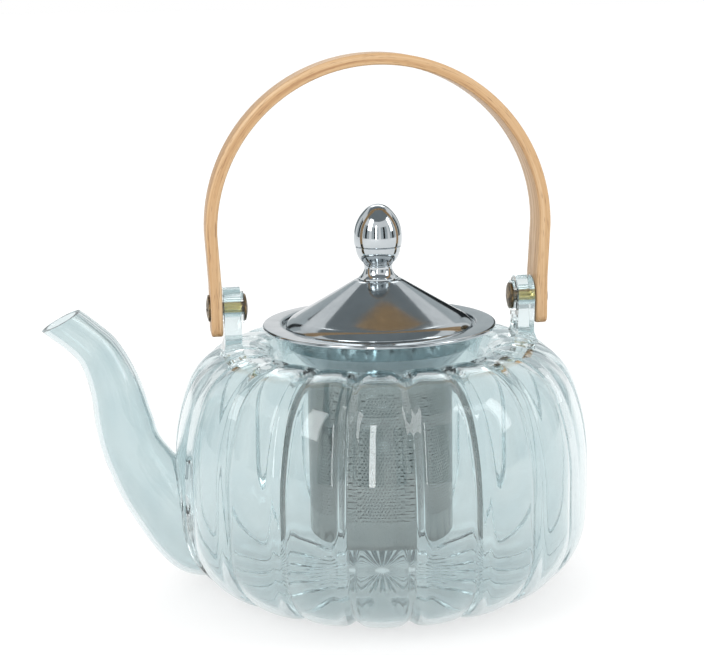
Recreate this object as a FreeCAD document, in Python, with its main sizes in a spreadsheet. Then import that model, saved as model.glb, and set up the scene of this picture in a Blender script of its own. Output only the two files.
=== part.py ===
import FreeCAD, Part
import math
import os
import re

import Sketcher

# Glass teapot with a hinged wooden handle, a steel infuser and a lid.
# Millimetres. The origin is the centre of the pot's underside, +Z is up, the spout points along -X
# and the handle swings about an axis along X.

SIZES = {
    # glass pot: a squat round body, a dip in its shoulder and a short flared neck
    "pot_diameter": 156,
    "glass_wall": 2.0,
    "pot_corner_radius": 30,
    "pot_side_top": 48,
    "shoulder_height": 92.5,
    "shoulder_roundness": 0.86,
    "dip_radius": 13,
    "dip_angle": 50,
    "neck_root_radius": 1.5,
    "neck_radius": 37.4,
    "neck_flare": 4.1,
    "neck_above_shoulder": 6.5,
    # shallow grooves that divide the body into lobes and end as rays under the base
    "groove_count": 20,
    "groove_section_radius": 4.0,
    "groove_depth": 1.1,
    "groove_start": 31,
    "groove_end_setback": 5,
    # spout, measured out from the pot's side and up from its underside
    "spout_reach": 38.8,
    "spout_above_shoulder": 12.6,
    "spout_root_diameter": 34,
    "spout_mouth_diameter": 15.6,
    "spout_wall": 1.8,
    # glass eyes that carry the handle
    "lug_setback": 11.3,
    "lug_thickness": 6.2,
    "lug_head_radius": 7.6,
    "lug_foot_width": 13,
    "lug_edge_round": 1.6,
    "lug_bury": 9,
    "pivot_above_shoulder": 14.9,
    # pivots
    "pivot_post_radius": 2.0,
    "running_clearance": 0.05,
    "bush_wall": 0.65,
    "swing_gap": 0.1,
    "inner_washer_thickness": 1.2,
    "inner_washer_radius": 5.8,
    "spacer_washer_thickness": 0.5,
    "spacer_washer_radius": 5.2,
    "pivot_head_radius": 4.9,
    "pivot_head_thickness": 1.5,
    "pivot_head_dome": 0.8,
    "pivot_screw_radius": 1.3,
    "pivot_thread_depth": 9,
    "pivot_tip_gap": 0.5,
    "pivot_post_recess": 0.6,
    "pivot_slot_width": 1.0,
    "pivot_slot_depth": 0.5,
    # handle
    "strip_thickness": 4.2,
    "strip_width": 15.5,
    "leg_below_pivot": 9.8,
    "leg_above_pivot": 27.7,
    "leg_flat": 8,
    "arch_spread": 1.0,
    "strip_edge_round": 0.7,
    "leg_end_round": 3,
    # infuser
    "flange_overhang": 2.0,
    "flange_lip": 1.1,
    "infuser_sheet": 0.6,
    "infuser_clearance": 1.4,
    "recess_depth": 1.3,
    "ledge_width": 2.8,
    "collar_depth": 6,
    "funnel_depth": 7.9,
    "basket_step": 5.9,
    "basket_sheet": 0.5,
    "basket_band": 9.8,
    "basket_bottom": 18.8,
    "basket_corner_radius": 2.5,
    # lid
    "lid_side_gap": 1.4,
    "lid_sheet": 0.6,
    "lid_edge": 0.8,
    "lid_edge_curve": 9,
    "lid_edge_run": 3.8,
    "lid_edge_rise": 3.1,
    "lid_rise": 17.4,
    "lid_crown_margin": 1.0,
    "skirt_depth": 6,
    "skirt_clearance": 0.4,
    # knob: foot, waist, bowl, seam and crown, with heights measured from its foot
    "knob_foot_radius": 7.4,
    "knob_foot_edge": 0.7,
    "knob_foot_curve": 4.6,
    "knob_waist_radius": 5.2,
    "knob_waist_height": 4.2,
    "knob_waist_curve": 3.2,
    "knob_bowl_radius": 6.5,
    "knob_bowl_height": 6.9,
    "knob_bowl_curve": 9.5,
    "knob_seam_radius": 8.4,
    "knob_seam_height": 12.4,
    "knob_seam_step": 0.3,
    "knob_crown_height": 18.3,
    "knob_crown_curve": 14,
    "knob_tip_reach": 4.85,
    "knob_tip_drop": 2.2,
    "knob_height": 27.9,
    "knob_screw_radius": 1.5,
    "knob_screw_bite": 7,
    "knob_tap_runout": 1,
    "knob_screw_head_radius": 2.8,
    "knob_screw_head_height": 2.0,
    "knob_washer_radius": 4.5,
    "knob_washer_thickness": 0.8,
}

# Lengths that follow from the sizes above, written over their names.
DERIVED = {
    "pot_radius": "pot_diameter / 2",
    "neck_height": "shoulder_height + neck_above_shoulder",
    "dip_throw": "dip_radius + neck_root_radius",
    "dip_centre": "shoulder_height - dip_radius",
    "crest_radius": "neck_radius + neck_root_radius + dip_throw * sin(dip_angle)",
    "neck_root_height": "dip_centre + dip_throw * cos(dip_angle)",
    "neck_rise": "neck_height - neck_root_height",
    "flare_radius": "(neck_flare^2 + neck_rise^2) / (2 * neck_flare)",
    # the side is an arc that starts upright and runs smoothly into the shoulder's smaller arc
    "shoulder_throw": "pot_radius - crest_radius",
    "shoulder_curve": "shoulder_roundness * shoulder_throw",
    "curve_drop": "pot_side_top - shoulder_height + shoulder_curve",
    "side_excess": "shoulder_throw^2 + curve_drop^2 - shoulder_curve^2",
    "side_curve": "side_excess / (2 * (shoulder_throw - shoulder_curve))",
    "side_centre": "pot_radius - side_curve",
    "curve_reach": "side_curve - shoulder_curve",
    "spout_rise": "shoulder_height + spout_above_shoulder",
    "flange_radius": "neck_radius + neck_flare + flange_overhang",
    "flange_top": "neck_height + swing_gap + infuser_sheet",
    "ledge_height": "flange_top - recess_depth",
    "collar_radius": "neck_radius - glass_wall - infuser_clearance - infuser_sheet",
    "recess_radius": "collar_radius + ledge_width",
    "collar_bottom": "ledge_height - collar_depth",
    "basket_radius": "collar_radius - basket_step",
    "basket_top": "collar_bottom - funnel_depth",
    "band_top": "basket_bottom + basket_band",
    "pivot_height": "shoulder_height + pivot_above_shoulder",
    "lug_centre": "flange_radius + lug_setback",
    "lug_inner": "lug_centre - lug_thickness / 2",
    "lug_outer": "lug_centre + lug_thickness / 2",
    "bush_bore": "pivot_post_radius + running_clearance",
    "eye_radius": "bush_bore + bush_wall",
    "inner_washer_start": "lug_inner - swing_gap - inner_washer_thickness",
    "spacer_washer_start": "lug_outer + swing_gap",
    "leg_inner": "spacer_washer_start + spacer_washer_thickness",
    "leg_outer": "leg_inner + strip_thickness",
    "leg_bottom": "pivot_height - leg_below_pivot",
    "leg_flat_top": "pivot_height + leg_flat",
    "arch_centre": "pivot_height + leg_above_pivot",
    "arch_inner": "leg_inner + arch_spread",
    "arch_outer": "leg_outer + arch_spread",
    "dome_curve": "(pivot_head_radius^2 + pivot_head_dome^2) / (2 * pivot_head_dome)",
    "pivot_rim": "pivot_head_thickness - pivot_head_dome",
    "barrel_end": "leg_outer - pivot_post_recess",
    "thread_end": "barrel_end - pivot_thread_depth",
    "lid_radius": "recess_radius - lid_side_gap",
    "lid_bottom": "ledge_height + swing_gap",
    "lid_top": "lid_bottom + lid_rise",
    "lid_edge_top": "lid_bottom + lid_edge",
    "lid_edge_radius": "lid_radius - lid_edge_run",
    "lid_edge_height": "lid_edge_top + lid_edge_rise",
    "lid_crown_radius": "knob_foot_radius + lid_crown_margin",
    "skirt_radius": "collar_radius - skirt_clearance",
    "knob_top": "lid_top + knob_height",
    "knob_crown_start": "knob_seam_radius + knob_seam_step",
    "knob_tip_curve": "(knob_tip_reach^2 + knob_tip_drop^2) / (2 * knob_tip_drop)",
    "knob_seat": "lid_top - lid_sheet",
    "knob_screw_seat": "knob_seat - knob_washer_thickness",
}

# The spout's centre line, from inside the pot to the mouth: each station's distance out from the
# pot's side and height as shares of reach and rise, its width as a share of the way from mouth to
# root, and the tilt in degrees of its section away from level.
SPOUT_STATIONS = (
    (-0.62, 0.162, 0.46, 78),
    (-0.26, 0.205, 1.00, 52),
    (0.12, 0.362, 0.73, 33),
    (0.37, 0.518, 0.40, 22),
    (0.46, 0.636, 0.33, 11),
    (0.53, 0.765, 0.17, 17),
    (0.66, 0.879, 0.03, 33),
    (0.82, 0.945, -0.03, 40),
    (1.00, 1.000, 0.00, 27),
)

SIDES = {"spout_side": -1, "far_side": 1}

# Two places closer than this are the same place.
TOUCH = 1e-6

doc = FreeCAD.newDocument("GlassTeapot")
sheet = doc.addObject("Spreadsheet::Sheet", "Sizes")
for row, (alias, number) in enumerate(SIZES.items(), start=1):
    sheet.set(f"A{row}", alias)
    sheet.set(f"B{row}", str(number))
    sheet.setAlias(f"B{row}", alias)
doc.recompute()

nodes = []


def formula(text):
    """Write a formula over size names as an expression on the sheet."""

    def word(match):
        name = match.group(0)
        if name in DERIVED:
            return "(" + formula(DERIVED[name]) + ")"
        return "Sizes." + name if name in SIZES else name

    return re.sub(r"[a-z][a-z_]*", word, text)


def size(text):
    """Return the present value of a formula."""
    return float(sheet.evalExpression(formula(text)))


def bind(item, target, text):
    """Tie a property or constraint to the sheet."""
    item.setExpression(target, formula(text))


def keep(item, label):
    """Mark an object as a sub-part, which is written to its own file."""
    item.Label = label
    nodes.append(item)
    return item


def new_body(name):
    return doc.addObject("PartDesign::Body", name)


def new_sketch(body, name, role, offset=None, lift=None):
    """Add a sketch on one of the body's own origin planes, moved out of it or up in it."""
    sketch = body.newObject("Sketcher::SketchObject", name)
    origin_plane = next(item for item in body.Origin.OriginFeatures if item.Role == role)
    sketch.AttachmentSupport = (origin_plane, [""])
    sketch.MapMode = "FlatFace"
    if offset:
        bind(sketch, "AttachmentOffset.Base.z", offset)
    if lift:
        bind(sketch, "AttachmentOffset.Base.y", lift)
    return sketch


def place_point(sketch, edge, end, across, up):
    """Hold one point of a sketch at two formulas' values."""
    for kind, axis, text in (("DistanceX", -2, across), ("DistanceY", -1, up)):
        if text == "0":
            sketch.addConstraint(Sketcher.Constraint("PointOnObject", edge, end, axis))
            continue
        index = sketch.addConstraint(Sketcher.Constraint(kind, edge, end, size(text)))
        bind(sketch, f"Constraints[{index}]", text)


def arc_between(start, end, radius, turn):
    """Return the smaller arc from start to end; turn is 1 anticlockwise and -1 clockwise."""
    chord = end - start
    left = FreeCAD.Vector(-chord.y, chord.x, 0) / chord.Length
    height = math.sqrt(max(radius**2 - (chord.Length / 2) ** 2, 0))
    centre = (start + end) / 2 + left * height * turn
    first, last = (start, end) if turn > 0 else (end, start)
    angles = [math.atan2(point.y - centre.y, point.x - centre.x) for point in (first, last)]
    if angles[1] < angles[0]:
        angles[1] += 2 * math.pi
    circle = Part.Circle(centre, FreeCAD.Vector(0, 0, 1), radius)
    return Part.ArcOfCircle(circle, *angles)


def draw(sketch, corners, side=1, closed=True):
    """Draw an outline, fully held by the sheet.

    A corner is (across, up) before a straight edge, or (across, up, radius, turn) before an arc.
    A side of -1 mirrors the outline.
    """
    def flip(text):
        return text if side > 0 or text == "0" else f"-1 * ({text})"

    placed = [(flip(corner[0]), corner[1]) for corner in corners]
    points = [FreeCAD.Vector(size(across), size(up), 0) for across, up in placed]
    count = len(corners) if closed else len(corners) - 1
    edges = []
    for index in range(count):
        start, end = points[index], points[(index + 1) % len(points)]
        if len(corners[index]) == 2:
            edge = sketch.addGeometry(Part.LineSegment(start, end))
            edges.append((edge, 1, 2))
            continue
        radius, turn = corners[index][2], corners[index][3] * side
        edge = sketch.addGeometry(arc_between(start, end, size(radius), turn))
        edges.append((edge, 1, 2) if turn > 0 else (edge, 2, 1))
        constraint = sketch.addConstraint(Sketcher.Constraint("Radius", edge, size(radius)))
        bind(sketch, f"Constraints[{constraint}]", radius)
    for index, (edge, start_end, _) in enumerate(edges):
        place_point(sketch, edge, start_end, *placed[index])
    if not closed:
        place_point(sketch, edges[-1][0], edges[-1][2], *placed[-1])
    joints = range(count) if closed else range(count - 1)
    for index in joints:
        edge, _, last = edges[index]
        following, first, _ = edges[(index + 1) % count]
        sketch.addConstraint(Sketcher.Constraint("Coincident", edge, last, following, first))


def draw_circle(sketch, across, up, radius):
    """Draw a circle held by the sheet."""
    centre = FreeCAD.Vector(size(across), size(up), 0)
    edge = sketch.addGeometry(Part.Circle(centre, FreeCAD.Vector(0, 0, 1), size(radius)))
    if across == "0" and up == "0":
        sketch.addConstraint(Sketcher.Constraint("Coincident", edge, 3, -1, 1))
    else:
        place_point(sketch, edge, 3, across, up)
    index = sketch.addConstraint(Sketcher.Constraint("Radius", edge, size(radius)))
    bind(sketch, f"Constraints[{index}]", radius)


def turn_profile(body, name, sketch, axis="V_Axis"):
    """Turn a sketched outline right round one of its own axes."""
    feature = body.newObject("PartDesign::Revolution", name)
    feature.Profile = sketch
    feature.ReferenceAxis = (sketch, [axis])
    feature.Angle = 360
    return feature


def turned_body(name, corners):
    """Make a body that is round about the pot's axis from the outline of its half section."""
    body = new_body(name)
    sketch = new_sketch(body, name + "_outline", "XZ_Plane")
    draw(sketch, corners)
    turn_profile(body, name + "_turned", sketch)
    return body


def round_edges(body, name, feature, radius, wanted):
    """Round the edges of a feature that a test picks out."""
    doc.recompute()
    edges = enumerate(feature.Shape.Edges, start=1)
    picked = [f"Edge{number}" for number, edge in edges if wanted(edge)]
    fillet = body.newObject("PartDesign::Fillet", name)
    fillet.Base = (feature, picked)
    bind(fillet, "Radius", radius)
    return fillet


def boolean(kind, name, base, tool):
    """Combine two objects with a Part boolean."""
    result = doc.addObject("Part::" + kind, name)
    result.Base = base
    result.Tool = tool
    return result


def pot_section(inset):
    """Return the corners of the pot's half section, each wall moved in by the inset."""
    along = f"(side_curve - {inset}) / curve_reach"
    dip_curve = f"(dip_radius - {inset})"
    rim = f"neck_radius + flare_radius - sqrt((flare_radius + {inset})^2 - neck_rise^2)"
    return [
        ("0", inset),
        ("pot_radius - pot_corner_radius", inset, f"pot_corner_radius - {inset}", 1),
        (f"pot_radius - {inset}", "pot_corner_radius"),
        (f"pot_radius - {inset}", "pot_side_top", f"side_curve - {inset}", 1),
        (
            f"side_centre + {along} * (crest_radius - side_centre)",
            f"pot_side_top - {along} * curve_drop",
            f"shoulder_curve - {inset}",
            1,
        ),
        ("crest_radius", f"shoulder_height - {inset}", dip_curve, 1),
        (
            f"crest_radius - {dip_curve} * sin(dip_angle)",
            f"dip_centre + {dip_curve} * cos(dip_angle)",
            f"neck_root_radius + {inset}",
            -1,
        ),
        (f"neck_radius - {inset}", "neck_root_height", f"flare_radius + {inset}", -1),
        (rim, "neck_height"),
        ("0", "neck_height"),
    ]


def pot_solid(name):
    """Make the pot's outside as a solid, which trims what is welded to it."""
    return turned_body(name, pot_section("0"))


def lobed_pot():
    """Make the hollow pot with its grooves."""
    body = pot_solid("pot_shell")
    turned = body.Tip
    cavity = new_sketch(body, "cavity_outline", "XZ_Plane")
    draw(cavity, pot_section("glass_wall"))
    hollow = body.newObject("PartDesign::Groove", "pot_cavity")
    hollow.Profile = cavity
    hollow.ReferenceAxis = (cavity, ["V_Axis"])
    hollow.Angle = 360
    route = new_sketch(body, "groove_route", "XZ_Plane")
    draw(route, groove_route(), closed=False)
    section = new_sketch(body, "groove_section", "YZ_Plane", offset="groove_start")
    draw_circle(section, "0", "groove_depth - groove_section_radius", "groove_section_radius")
    groove = body.newObject("PartDesign::SubtractivePipe", "groove")
    groove.Profile = section
    groove.Spine = route
    doc.recompute()
    check_cut(turned, hollow)
    check_cut(hollow, groove)
    grooves = body.newObject("PartDesign::PolarPattern", "grooves")
    grooves.Originals = [groove]
    grooves.Axis = (route, ["V_Axis"])
    grooves.Angle = 360
    bind(grooves, "Occurrences", "groove_count")
    body.Tip = grooves
    doc.recompute()
    check_cut(groove, grooves)
    return body


def groove_route():
    """Return the centre line of a groove's cutter, which runs outside the pot's half section."""
    outside = "(groove_depth - groove_section_radius)"
    section = pot_section(outside)
    start = ("groove_start", section[0][1])
    last = section[5]
    return [start, *section[1:5], (last[0], last[1]), (f"{last[0]} - groove_end_setback", last[1])]


def check_cut(before, after):
    """Stop if a cut took nothing away."""
    if not after.Shape.Volume < before.Shape.Volume:
        raise RuntimeError(f"{after.Name} cuts nothing")


def spout_loft(name, wall):
    """Make the spout's outside, or its bore when a wall is taken off, as a loft of circles."""
    body = new_body(name)
    sections = []
    for number, (out, up, width, tilt) in enumerate(SPOUT_STATIONS):
        sketch = new_sketch(body, f"{name}_station_{number}", "XY_Plane")
        turn = FreeCAD.Rotation(FreeCAD.Vector(0, 1, 0), -tilt)
        sketch.AttachmentOffset = FreeCAD.Placement(FreeCAD.Vector(), turn)
        bind(sketch, "AttachmentOffset.Base.x", f"-1 * (pot_radius + {out} * spout_reach)")
        bind(sketch, "AttachmentOffset.Base.z", f"{up} * spout_rise")
        span = f"spout_mouth_diameter + {width} * (spout_root_diameter - spout_mouth_diameter)"
        draw_circle(sketch, "0", "0", f"({span}) / 2 - {wall}")
        sections.append(sketch)
    loft = body.newObject("PartDesign::AdditiveLoft", name + "_loft")
    loft.Profile = sections[0]
    loft.Sections = sections[1:]
    return body


def lug_blank(name, side):
    """Make one eye before its foot is trimmed to the shoulder."""
    body = new_body(name + "_blank")
    face = "lug_inner" if side > 0 else "-1 * lug_outer"
    foot = "shoulder_height - lug_bury"
    sketch = new_sketch(body, name + "_outline", "YZ_Plane", offset=face)
    draw(
        sketch,
        [
            ("-1 * lug_foot_width / 2", foot),
            ("lug_foot_width / 2", foot),
            ("lug_head_radius", "pivot_height", "lug_head_radius", 1),
            ("0", "pivot_height + lug_head_radius", "lug_head_radius", 1),
            ("-1 * lug_head_radius", "pivot_height"),
        ],
    )
    draw_circle(sketch, "0", "pivot_height", "eye_radius")
    pad = body.newObject("PartDesign::Pad", name + "_pad")
    pad.Profile = sketch
    bind(pad, "Length", "lug_thickness")
    faces = (side * size("lug_inner"), side * size("lug_outer"))
    eye = size("eye_radius")
    low = size(foot)

    def rim(edge):
        box = edge.BoundBox
        on_face = box.XLength < TOUCH and any(abs(box.XMin - across) < TOUCH for across in faces)
        round_eye = abs(box.ZLength - 2 * eye) < TOUCH
        return on_face and not round_eye and edge.CenterOfMass.z > low + TOUCH

    round_edges(body, name + "_rounded", pad, "lug_edge_round", rim)
    return body


def ring_body(name, side, start, thickness, hole, radius):
    """Make a flat ring about the pivot axis, between two distances out from the middle."""
    body = new_body(name)
    far = f"{start} + {thickness}"
    face = start if side > 0 else f"-1 * ({far})"
    sketch = new_sketch(body, name + "_outline", "YZ_Plane", offset=face)
    draw_circle(sketch, "0", "pivot_height", radius)
    draw_circle(sketch, "0", "pivot_height", hole)
    pad = body.newObject("PartDesign::Pad", name + "_pad")
    pad.Profile = sketch
    bind(pad, "Length", thickness)
    return keep(body, name)


def pivot_turning(name, side, corners):
    """Make a body that is round about the pivot axis from the outline of its half section."""
    body = new_body(name)
    sketch = new_sketch(body, name + "_outline", "XZ_Plane", lift="pivot_height")
    draw(sketch, corners, side)
    turn_profile(body, name + "_turned", sketch, "H_Axis")
    return keep(body, name)


def pivot_post(name, side):
    """Make the barrel with its domed head on the inner side of the eye."""
    head_face = "inner_washer_start"
    return pivot_turning(
        name,
        side,
        [
            (f"{head_face} - pivot_head_thickness", "0", "dome_curve", -1),
            (f"{head_face} - pivot_rim", "pivot_head_radius"),
            (head_face, "pivot_head_radius"),
            (head_face, "pivot_post_radius"),
            ("barrel_end", "pivot_post_radius"),
            ("barrel_end", "pivot_screw_radius"),
            ("thread_end", "pivot_screw_radius"),
            ("thread_end", "0"),
        ],
    )


def pivot_screw(name, side):
    """Make the screw that enters the barrel from outside the leg, with a slot across its head."""
    crown = "leg_outer + pivot_head_thickness"
    tip = "thread_end + pivot_tip_gap"
    body = pivot_turning(
        name,
        side,
        [
            (tip, "0"),
            (crown, "0", "dome_curve", 1),
            ("leg_outer + pivot_rim", "pivot_head_radius"),
            ("leg_outer", "pivot_head_radius"),
            ("leg_outer", "pivot_screw_radius"),
            (tip, "pivot_screw_radius"),
        ],
    )
    face = crown if side > 0 else f"-1 * ({crown})"
    slot = new_sketch(body, name + "_slot_outline", "YZ_Plane", offset=face)
    draw(
        slot,
        [
            ("-1 * pivot_head_radius", "pivot_height - pivot_slot_width / 2"),
            ("pivot_head_radius", "pivot_height - pivot_slot_width / 2"),
            ("pivot_head_radius", "pivot_height + pivot_slot_width / 2"),
            ("-1 * pivot_head_radius", "pivot_height + pivot_slot_width / 2"),
        ],
    )
    doc.recompute()
    turned = body.Tip
    pocket = body.newObject("PartDesign::Pocket", name + "_slot")
    pocket.Profile = slot
    bind(pocket, "Length", "pivot_slot_depth")
    pocket.Reversed = side < 0
    doc.recompute()
    check_cut(turned, pocket)
    return body


def handle_strip():
    """Make the bent strip: two legs joined by a half circle, bored for the barrels.

    Each leg is upright where the pivot clamps it and spreads a little above that.
    """
    body = new_body("handle_strip")
    sketch = new_sketch(body, "strip_outline", "XZ_Plane", offset="-1 * strip_width / 2")
    draw(
        sketch,
        [
            ("-1 * leg_outer", "leg_bottom"),
            ("-1 * leg_inner", "leg_bottom"),
            ("-1 * leg_inner", "leg_flat_top"),
            ("-1 * arch_inner", "arch_centre", "arch_inner", -1),
            ("0", "arch_centre + arch_inner", "arch_inner", -1),
            ("arch_inner", "arch_centre"),
            ("leg_inner", "leg_flat_top"),
            ("leg_inner", "leg_bottom"),
            ("leg_outer", "leg_bottom"),
            ("leg_outer", "leg_flat_top"),
            ("arch_outer", "arch_centre", "arch_outer", 1),
            ("0", "arch_centre + arch_outer", "arch_outer", 1),
            ("-1 * arch_outer", "arch_centre"),
            ("-1 * leg_outer", "leg_flat_top"),
        ],
    )
    pad = body.newObject("PartDesign::Pad", "strip_pad")
    pad.Profile = sketch
    bind(pad, "Length", "strip_width")
    foot = size("leg_bottom")
    flat = size("leg_flat")

    def leg_corner(edge):
        return edge.BoundBox.YLength < TOUCH and abs(edge.CenterOfMass.z - foot) < TOUCH

    def long_edge(edge):
        return edge.BoundBox.YLength < TOUCH and edge.BoundBox.ZLength > flat

    ends = round_edges(body, "leg_ends", pad, "leg_end_round", leg_corner)
    edges = round_edges(body, "strip_edges", ends, "strip_edge_round", long_edge)
    hole = new_sketch(body, "barrel_hole", "YZ_Plane")
    draw_circle(hole, "0", "pivot_height", "pivot_post_radius")
    pocket = body.newObject("PartDesign::Pocket", "barrel_holes")
    pocket.Profile = hole
    pocket.Type = "ThroughAll"
    pocket.SideType = "Symmetric"
    doc.recompute()
    check_cut(edges, pocket)
    return keep(body, "handle_strip")


def infuser():
    """Make the infuser: rim with flange, recess, collar and funnel, then basket wall and base."""
    rim = turned_body(
        "infuser_rim",
        [
            ("flange_radius", "flange_top - flange_lip"),
            ("flange_radius", "flange_top"),
            ("recess_radius", "flange_top"),
            ("recess_radius", "ledge_height"),
            ("collar_radius", "ledge_height"),
            ("collar_radius", "collar_bottom"),
            ("basket_radius - basket_sheet", "basket_top"),
            ("basket_radius", "basket_top"),
            ("collar_radius + infuser_sheet", "collar_bottom"),
            ("collar_radius + infuser_sheet", "ledge_height - infuser_sheet"),
            ("recess_radius + infuser_sheet", "ledge_height - infuser_sheet"),
            ("recess_radius + infuser_sheet", "flange_top - infuser_sheet"),
            ("flange_radius - infuser_sheet", "flange_top - infuser_sheet"),
            ("flange_radius - infuser_sheet", "flange_top - flange_lip"),
        ],
    )
    keep(rim, "infuser_rim")
    wall = turned_body(
        "infuser_wall",
        [
            ("basket_radius - basket_sheet", "band_top"),
            ("basket_radius", "band_top"),
            ("basket_radius", "basket_top"),
            ("basket_radius - basket_sheet", "basket_top"),
        ],
    )
    keep(wall, "infuser_wall")
    floor = "basket_bottom + basket_sheet"
    bend = "basket_bottom + basket_corner_radius"
    inner_bend = "basket_corner_radius - basket_sheet"
    base = turned_body(
        "infuser_base",
        [
            ("0", "basket_bottom"),
            ("basket_radius - basket_corner_radius", "basket_bottom", "basket_corner_radius", 1),
            ("basket_radius", bend),
            ("basket_radius", "band_top"),
            ("basket_radius - basket_sheet", "band_top"),
            ("basket_radius - basket_sheet", bend, inner_bend, -1),
            ("basket_radius - basket_corner_radius", floor),
            ("0", floor),
        ],
    )
    keep(base, "infuser_base")


def lid():
    """Make the lid: spun cone with a curved edge, and the skirt that centres it in the infuser."""
    inner_radius = "lid_radius - lid_sheet"
    under = "lid_top - lid_sheet"
    shell = turned_body(
        "lid_shell",
        [
            ("lid_radius", "lid_bottom"),
            ("lid_radius", "lid_edge_top", "lid_edge_curve", 1),
            ("lid_edge_radius", "lid_edge_height"),
            ("lid_crown_radius", "lid_top"),
            ("knob_screw_radius", "lid_top"),
            ("knob_screw_radius", under),
            ("lid_crown_radius - lid_sheet / 4", under),
            ("lid_edge_radius - lid_sheet / 2", "lid_edge_height - lid_sheet", "lid_edge_curve", -1),
            (inner_radius, "lid_edge_top - lid_sheet / 4"),
            (inner_radius, "lid_bottom"),
        ],
    )
    keep(shell, "lid_shell")
    skirt = turned_body(
        "lid_skirt",
        [
            ("skirt_radius - lid_sheet", "lid_bottom - skirt_depth"),
            ("skirt_radius", "lid_bottom - skirt_depth"),
            ("skirt_radius", "lid_bottom"),
            (inner_radius, "lid_bottom"),
            (inner_radius, "lid_bottom + lid_sheet"),
            ("skirt_radius - lid_sheet", "lid_bottom + lid_sheet"),
        ],
    )
    keep(skirt, "lid_skirt")


def knob():
    """Make the acorn knob, tapped from below, with its washer and screw under the lid."""
    tap_end = "lid_top + knob_screw_bite + knob_tap_runout"
    body = turned_body(
        "knob",
        [
            ("knob_screw_radius", "lid_top"),
            ("knob_foot_radius - knob_foot_edge", "lid_top"),
            ("knob_foot_radius", "lid_top + knob_foot_edge", "knob_foot_curve", -1),
            ("knob_waist_radius", "lid_top + knob_waist_height", "knob_waist_curve", -1),
            ("knob_bowl_radius", "lid_top + knob_bowl_height", "knob_bowl_curve", 1),
            ("knob_seam_radius", "lid_top + knob_seam_height"),
            ("knob_crown_start", "lid_top + knob_seam_height + knob_seam_step", "knob_crown_curve", 1),
            ("knob_crown_start", "lid_top + knob_crown_height", "knob_crown_curve", 1),
            ("knob_tip_reach", "knob_top - knob_tip_drop", "knob_tip_curve", 1),
            ("0", "knob_top"),
            ("0", tap_end),
            ("knob_screw_radius", tap_end),
        ],
    )
    keep(body, "knob")
    washer = turned_body(
        "knob_washer",
        [
            ("knob_screw_radius", "knob_screw_seat"),
            ("knob_washer_radius", "knob_screw_seat"),
            ("knob_washer_radius", "knob_seat"),
            ("knob_screw_radius", "knob_seat"),
        ],
    )
    keep(washer, "knob_washer")
    screw = turned_body(
        "knob_screw",
        [
            ("0", "knob_screw_seat - knob_screw_head_height"),
            ("knob_screw_head_radius", "knob_screw_seat - knob_screw_head_height"),
            ("knob_screw_head_radius", "knob_screw_seat"),
            ("knob_screw_radius", "knob_screw_seat"),
            ("knob_screw_radius", "lid_top + knob_screw_bite"),
            ("0", "lid_top + knob_screw_bite"),
        ],
    )
    keep(screw, "knob_screw")


def glass():
    """Make the pot, the spout and the eyes, each trimmed to the pot's outside."""
    trimmer = pot_solid("pot_outside")
    bore = spout_loft("spout_bore", "spout_wall")
    keep(boolean("Cut", "pierced_pot", lobed_pot(), bore), "glass_body")
    outside = boolean("Cut", "spout_outside", spout_loft("spout_skin", "0"), trimmer)
    keep(boolean("Cut", "spout_tube", outside, bore), "glass_spout")
    for place, side in SIDES.items():
        name = "lug_" + place
        keep(boolean("Cut", name + "_trimmed", lug_blank(name, side), trimmer), name)


def pivots():
    """Make each side's bush, washers, barrel and screw."""
    rings = (
        ("eye_bush_", "lug_inner", "lug_thickness", "bush_bore", "eye_radius"),
        (
            "inner_washer_",
            "inner_washer_start",
            "inner_washer_thickness",
            "pivot_post_radius",
            "inner_washer_radius",
        ),
        (
            "spacer_washer_",
            "spacer_washer_start",
            "spacer_washer_thickness",
            "pivot_post_radius",
            "spacer_washer_radius",
        ),
    )
    for place, side in SIDES.items():
        for name, start, thickness, hole, radius in rings:
            ring_body(name + place, side, start, thickness, hole, radius)
        pivot_post("pivot_post_" + place, side)
        pivot_screw("pivot_screw_" + place, side)


def check_document():
    """Stop if any object failed or any sub-part is empty or unsound."""
    for item in doc.Objects:
        if "Invalid" in item.State or "Error" in item.State:
            raise RuntimeError(f"{item.Name} failed: {item.State}")
    for item in nodes:
        if item.Shape.isNull() or not item.Shape.isValid() or not item.Shape.Solids:
            raise RuntimeError(f"{item.Label} has no sound solid")


glass()
pivots()
handle_strip()
infuser()
lid()
knob()
doc.recompute()
check_document()
os.makedirs("parts", exist_ok=True)
for item in nodes:
    item.Shape.exportStep(f"parts/{item.Label}.step")
    box = item.Shape.BoundBox
    print(f"{item.Label:28s} {len(item.Shape.Solids)} solid {item.Shape.Volume:10.1f} mm3"
          f"  x {box.XMin:7.1f} {box.XMax:7.1f}  y {box.YMin:6.1f} {box.YMax:6.1f}"
          f"  z {box.ZMin:6.1f} {box.ZMax:6.1f}")
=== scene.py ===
"""Looks of the glass teapot: blown glass, bent beech, polished steel and aged bronze.

Each sub-assembly is a class that models its pieces in the CAD frame, in metres, and sends them
to ride on their CAD body. Sizes in the classes are in millimetres, as on a maker's drawing.
"""

import logging
import math
from collections.abc import Callable, Sequence
from dataclasses import dataclass, field, replace
from enum import Enum
from itertools import pairwise

import bpy
from mathutils import Matrix, Vector


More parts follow.
